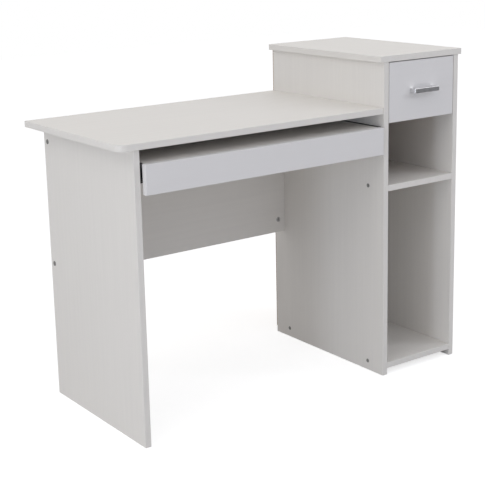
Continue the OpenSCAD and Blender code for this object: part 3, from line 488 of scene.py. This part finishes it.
# Drawer runners: white epoxy coated steel, one rail on the tower and one on the drawer at each side. A
# nylon roller on a riveted axle at the front of one and at the back of the other carries the load.
EPOXY, EPOXY_TRACK = (0.74, 0.74, 0.715), (0.42, 0.42, 0.41)
NYLON_DARK, NYLON_LIGHT = (0.66, 0.645, 0.57), (0.72, 0.71, 0.65)
ROLLER_BORE, ROLLER_HUB, ROLLER_WEB, ROLLER_EDGE = 2.08 * MM, 3.9 * MM, 1.0 * MM, 0.6 * MM
RIM_SHARE = 0.78
HUB_SLOPE = 0.3 * MM
ROLLER_STEPS = 48
for side in SIDES:
    for half in ("frame", "drawer"):
        epoxy = Finish(f"white epoxy of {side} {half} rail", Specular_IOR_Level=0.5)
        facing = epoxy.facing()
        peel = epoxy.noise(1.5 * MM, detail=1.0)
        rubbed = epoxy.noise(1.0 * MM, detail=2.0, stretch=ALONG_SLIDE)
        track = (abs(facing[Z]) > SQUARE_ON) * epoxy.ramp(rubbed, 0.5, 0.68) * 0.35
        epoxy.set(Base_Color=epoxy.shades(track, EPOXY, EPOXY_TRACK), Roughness=0.3 + 0.08 * peel)
        epoxy.bump(peel, depth=0.06 * MM, strength=0.5)
        dress(f"runner_{side}_{half}_rail", epoxy)

        name = f"runner_{side}_{half}_roller"
        low, high = (Vector(corner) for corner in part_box(name))
        centre = Vector((low.x, (low.y + high.y) / 2, (low.z + high.z) / 2))
        width, radius = high.x - low.x, (high.z - low.z) / 2
        rim = RIM_SHARE * radius
        half_profile = [
            (ROLLER_BORE, 0), (ROLLER_HUB, 0), (ROLLER_HUB + HUB_SLOPE, ROLLER_WEB), (rim, ROLLER_WEB),
            (rim + HUB_SLOPE, 0.25 * ROLLER_EDGE), (radius - ROLLER_EDGE, 0), (radius, ROLLER_EDGE),
        ]
        profile = half_profile + [(r, width - h) for r, h in reversed(half_profile)] + half_profile[:1]
        bm = bmesh.new()
        spin_profile(bm, profile, centre, RIGHT, ROLLER_STEPS)
        nylon = Finish(f"natural nylon of {side} {half} roller", Specular_IOR_Level=0.45)
        flow = nylon.noise(4 * MM, detail=2.0)
        nylon.set(Base_Color=nylon.shades(flow, NYLON_DARK, NYLON_LIGHT), Roughness=0.36 + 0.1 * flow)
        nylon.bump(flow, depth=0.05 * MM, strength=0.4)
        new_piece(f"nylon_roller_{side}_{half}", bm, nylon, f"{side}_{half}_roller", "nylon", name)
for name in ("frame_roller_axles", "drawer_roller_axles", "drawer_rail_screws"):
    plated_steel(name)

# Floor: a plain pale sheet under the desk. To the camera it glows, so that it is nearly white and shows
# only a soft shadow. It throws light back at the desk, and it is dim where metal mirrors it.
FLOOR = 8.0
FLOOR_SEEN, FLOOR_GLOW = (0.6, 0.6, 0.6, 1), 0.7
FLOOR_BOUNCE, FLOOR_MIRRORED = (0.88, 0.875, 0.87, 1), (0.2, 0.2, 0.21, 1)
WHITE = (1, 1, 1, 1)


def by_ray(wiring, lighting, mirrored, seen):
    """One shader lights the desk, one is what gloss mirrors, and one is what the camera sees."""
    glossy = wiring.node("ShaderNodeLightPath", out="Is Glossy Ray")
    camera = wiring.node("ShaderNodeLightPath", out="Is Camera Ray")
    mixed = wiring.node("ShaderNodeMixShader", i0=glossy, i1=lighting, i2=mirrored)
    return wiring.node("ShaderNodeMixShader", i0=camera, i1=mixed, i2=seen)


bm = bmesh.new()
bmesh.ops.create_grid(bm, x_segments=1, y_segments=1, size=FLOOR)
mesh = bpy.data.meshes.new("floor")
bm.to_mesh(mesh)
bm.free()
floor = bpy.data.objects.new("floor", mesh)
bpy.context.collection.objects.link(floor)
pale = Finish("floor", Base_Color=FLOOR_SEEN, Roughness=1.0, Specular_IOR_Level=0.0)
pale.set(Emission_Color=WHITE, Emission_Strength=FLOOR_GLOW)
bounce = pale.node("ShaderNodeBsdfDiffuse", Color=FLOOR_BOUNCE)
dim = pale.node("ShaderNodeBsdfDiffuse", Color=FLOOR_MIRRORED)
surface = by_ray(pale, bounce, dim, Socket(pale, pale.shader.outputs[0]))
pale.join(pale.tree.nodes["Material Output"].inputs["Surface"], surface)
mesh.materials.append(pale.material)

# Studio light: a pale dome, brighter overhead and bluer in front, and three soft lamps. The key is high at
# the left, the side lamp low at the left, and the fill at the right. Gloss mirrors a brighter sky, and the
# camera sees plain white.
DOME, DOME_TOP, DOME_LEFT, DOME_FRONT = 0.46, 0.15, 0.03, 0.19
WARM_SKY, COOL_SKY = (1.0, 0.985, 0.975), (0.87, 0.90, 1.0)
FRONT_START, FRONT_FULL = 0.08, 0.34
SHINE, SHINE_TOP = 0.8, 2.2
SHINE_START, SHINE_FULL = 0.45, 0.80
DESK_MIDDLE = Vector((0, 0, 0.4))
world = bpy.context.scene.world or bpy.data.worlds.new("studio")
bpy.context.scene.world = world
world.use_nodes = True
dome = Wiring(world.node_tree)
across, along, up = dome.split(dome.node("ShaderNodeTexCoord", out="Generated"))
front = (0.0 - along).most(0.0)
band = dome.ramp(up, FRONT_START, FRONT_FULL)
glow = DOME + DOME_TOP * up.most(0.0) - DOME_LEFT * across + DOME_FRONT * front * band * (1.0 - up)
shine = SHINE + SHINE_TOP * dome.ramp(up, SHINE_START, SHINE_FULL)
lit = dome.node("ShaderNodeBackground", Color=dome.shades(front, WARM_SKY, COOL_SKY), Strength=glow)
bright = dome.node("ShaderNodeBackground", Color=WHITE, Strength=shine)
white = dome.node("ShaderNodeBackground", Color=WHITE, Strength=1.0)
sky = by_ray(dome, lit, bright, white)
dome.join(world.node_tree.nodes["World Output"].inputs["Surface"], sky)


def lamp(name, spot, size, power, colour):
    """A round soft lamp, its size in metres and its power in watts, turned to the middle of the desk."""
    light = bpy.data.lights.new(name, "AREA")
    light.shape, light.size, light.energy, light.color = "DISK", size, power, colour
    shown = bpy.data.objects.new(name, light)
    shown.location = spot
    aim = DESK_MIDDLE - Vector(spot)
    shown.rotation_euler = aim.to_track_quat("-Z", "Y").to_euler()
    bpy.context.collection.objects.link(shown)


lamp("key", (-2.8, -1.2, 3.2), 2.6, 24, (1.0, 0.98, 0.95))
lamp("side", (-3.3, -1.2, 0.8), 0.6, 15, (0.80, 0.88, 1.0))
lamp("fill", (2.7, -2.3, 2.3), 0.7, 16, (0.90, 0.94, 1.0))

# Camera: a long lens at a seated eye's height, in front of the desk and to its left, turned right by YAW
# and down by PITCH.
LENS = 87.63
SHIFT_X, SHIFT_Y = 0.00223, -0.0994
EYE = (-1.8158, -2.4826, 1.2146)
YAW, PITCH, ROLL = 35.534, -12.886, -1.293
camera = bpy.data.objects.new("camera", bpy.data.cameras.new("camera"))
camera.data.lens = LENS
camera.data.shift_x = SHIFT_X
camera.data.shift_y = SHIFT_Y
turn = Matrix.Rotation(-math.radians(YAW), 4, "Z") @ Matrix.Rotation(math.radians(90 + PITCH), 4, "X")
camera.matrix_world = Matrix.Translation(EYE) @ turn @ Matrix.Rotation(math.radians(ROLL), 4, "Z")
bpy.context.collection.objects.link(camera)
bpy.context.scene.camera = camera
bpy.context.scene.view_settings.view_transform = "Standard"
